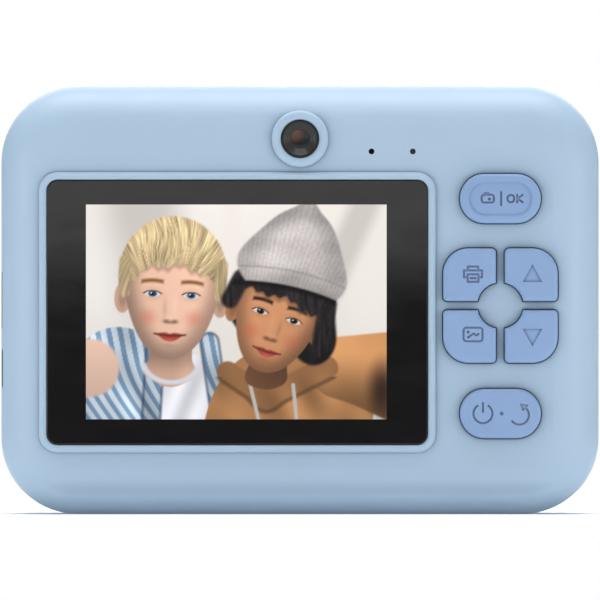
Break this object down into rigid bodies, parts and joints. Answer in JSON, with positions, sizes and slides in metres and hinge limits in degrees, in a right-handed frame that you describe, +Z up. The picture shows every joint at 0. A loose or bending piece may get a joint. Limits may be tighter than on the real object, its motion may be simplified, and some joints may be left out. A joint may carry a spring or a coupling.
{
  "type": "instant-print camera",
  "caption": "Soft-cornered child's instant-print camera with a screen and buttons on the back, a ring lens in front and a hinged paper door on top.",
  "frame": {"origin": "middle of the footprint on the surface that the camera stands on", "axes": "+Z up, +X to the right for someone looking at the screen, -Y out of the screen, +Y out of the main lens"},
  "size_m": [0.123, 0.0506, 0.088],
  "materials": {
    "shell_blue": "fine satin moulded plastic",
    "button_blue": "satin moulded plastic",
    "ring_white": "smooth glossy moulded plastic",
    "black_glass": "polished, printed black on the inside round the picture",
    "smoked_glass": "polished dark",
    "clear_glass": "polished clear",
    "black_plastic": "fine matt",
    "white_plastic": "moulded",
    "circuit_board": "green solder mask",
    "amber_plastic": "translucent amber",
    "steel": "brushed",
    "foil": "soft foil",
    "rubber": "ground rubber",
    "thermal_paper": "smooth paper",
    "brown_card": "wound paperboard"
  },
  "bodies": {
    "housing": {"back_shell": "shell_blue", "front_shell": "shell_blue", "lens_ring": "ring_white", "screen_window": "black_glass", "lcd_panel": "smoked_glass", "selfie_window": "smoked_glass", "indicator_led": "smoked_glass", "lens_window": "clear_glass", "lens_elements": "clear_glass", "flash_window": "clear_glass", "selfie_camera": "black_plastic", "microphone": "black_plastic", "lens_cone": "black_plastic", "main_camera": "black_plastic", "speaker": "black_plastic", "tact_switches": "black_plastic", "board_chips": "black_plastic", "backlight_tray": "white_plastic", "flash_led": "white_plastic", "paper_cradle": "white_plastic", "print_head": "white_plastic", "main_pcb": "circuit_board", "display_flex": "amber_plastic", "board_screws": "steel", "usb_port": "steel", "card_socket": "steel", "strap_bar": "steel", "head_bracket": "steel", "head_spring": "steel", "tear_bar": "steel", "idler_pin": "steel", "stepper_motor": "steel", "motor_plate": "steel", "housing_screws": "steel", "battery": "foil", "paper_strip": "thermal_paper"},
    "ok_key": {"ok_button": "button_blue", "ok_plunger": "white_plastic"},
    "print_key": {"print_button": "button_blue", "print_plunger": "white_plastic"},
    "up_key": {"up_button": "button_blue", "up_plunger": "white_plastic"},
    "gallery_key": {"gallery_button": "button_blue", "gallery_plunger": "white_plastic"},
    "down_key": {"down_button": "button_blue", "down_plunger": "white_plastic"},
    "power_key": {"power_button": "button_blue", "power_plunger": "white_plastic"},
    "door": {"paper_door": "shell_blue", "hinge_pins": "steel", "platen_bushes": "white_plastic"},
    "platen": {"platen_roller": "rubber", "platen_shaft": "steel", "platen_gear": "white_plastic"},
    "idler": {"idler_gear": "white_plastic"},
    "pinion": {"motor_pinion": "amber_plastic"},
    "roll": {"paper_roll": "thermal_paper", "paper_core": "brown_card"},
    "card": {"memory_card": "black_plastic"}
  },
  "joints": [
    {"name": "ok_press", "type": "slide", "parent": "housing", "child": "ok_key", "axis": [0, 1, 0], "range_m": [0, 0.0005], "stiffness_N_per_m": 300, "springref_m": -0.002},
    {"name": "print_press", "type": "slide", "parent": "housing", "child": "print_key", "axis": [0, 1, 0], "range_m": [0, 0.0005], "stiffness_N_per_m": 300, "springref_m": -0.002},
    {"name": "up_press", "type": "slide", "parent": "housing", "child": "up_key", "axis": [0, 1, 0], "range_m": [0, 0.0005], "stiffness_N_per_m": 300, "springref_m": -0.002},
    {"name": "gallery_press", "type": "slide", "parent": "housing", "child": "gallery_key", "axis": [0, 1, 0], "range_m": [0, 0.0005], "stiffness_N_per_m": 300, "springref_m": -0.002},
    {"name": "down_press", "type": "slide", "parent": "housing", "child": "down_key", "axis": [0, 1, 0], "range_m": [0, 0.0005], "stiffness_N_per_m": 300, "springref_m": -0.002},
    {"name": "power_press", "type": "slide", "parent": "housing", "child": "power_key", "axis": [0, 1, 0], "range_m": [0, 0.0005], "stiffness_N_per_m": 300, "springref_m": -0.002},
    {"name": "door_hinge", "type": "hinge", "parent": "housing", "child": "door", "pos_m": [0, -0.0127, 0.085], "axis": [1, 0, 0], "range_deg": [0, 90]},
    {"name": "platen_spin", "type": "hinge", "parent": "door", "child": "platen", "pos_m": [0, 0.0058, 0.079], "axis": [1, 0, 0], "continuous": true},
    {"name": "idler_spin", "type": "hinge", "parent": "housing", "child": "idler", "pos_m": [0, 0.00257, 0.06693], "axis": [1, 0, 0], "continuous": true},
    {"name": "pinion_spin", "type": "hinge", "parent": "housing", "child": "pinion", "pos_m": [0, -0.00777, 0.06316], "axis": [1, 0, 0], "continuous": true},
    {"name": "roll_spin", "type": "hinge", "parent": "housing", "child": "roll", "pos_m": [0, -0.0012, 0.063], "axis": [1, 0, 0], "continuous": true},
    {"name": "card_slide", "type": "slide", "parent": "housing", "child": "card", "axis": [-1, 0, 0], "range_m": [0, 0.012]}
  ],
  "couplings": [
    {"joint": "idler_spin", "follows": "platen_spin", "ratio": -0.66667},
    {"joint": "pinion_spin", "follows": "platen_spin", "ratio": 1.4286},
    {"joint": "roll_spin", "follows": "platen_spin", "ratio": 0.316}
  ]
}
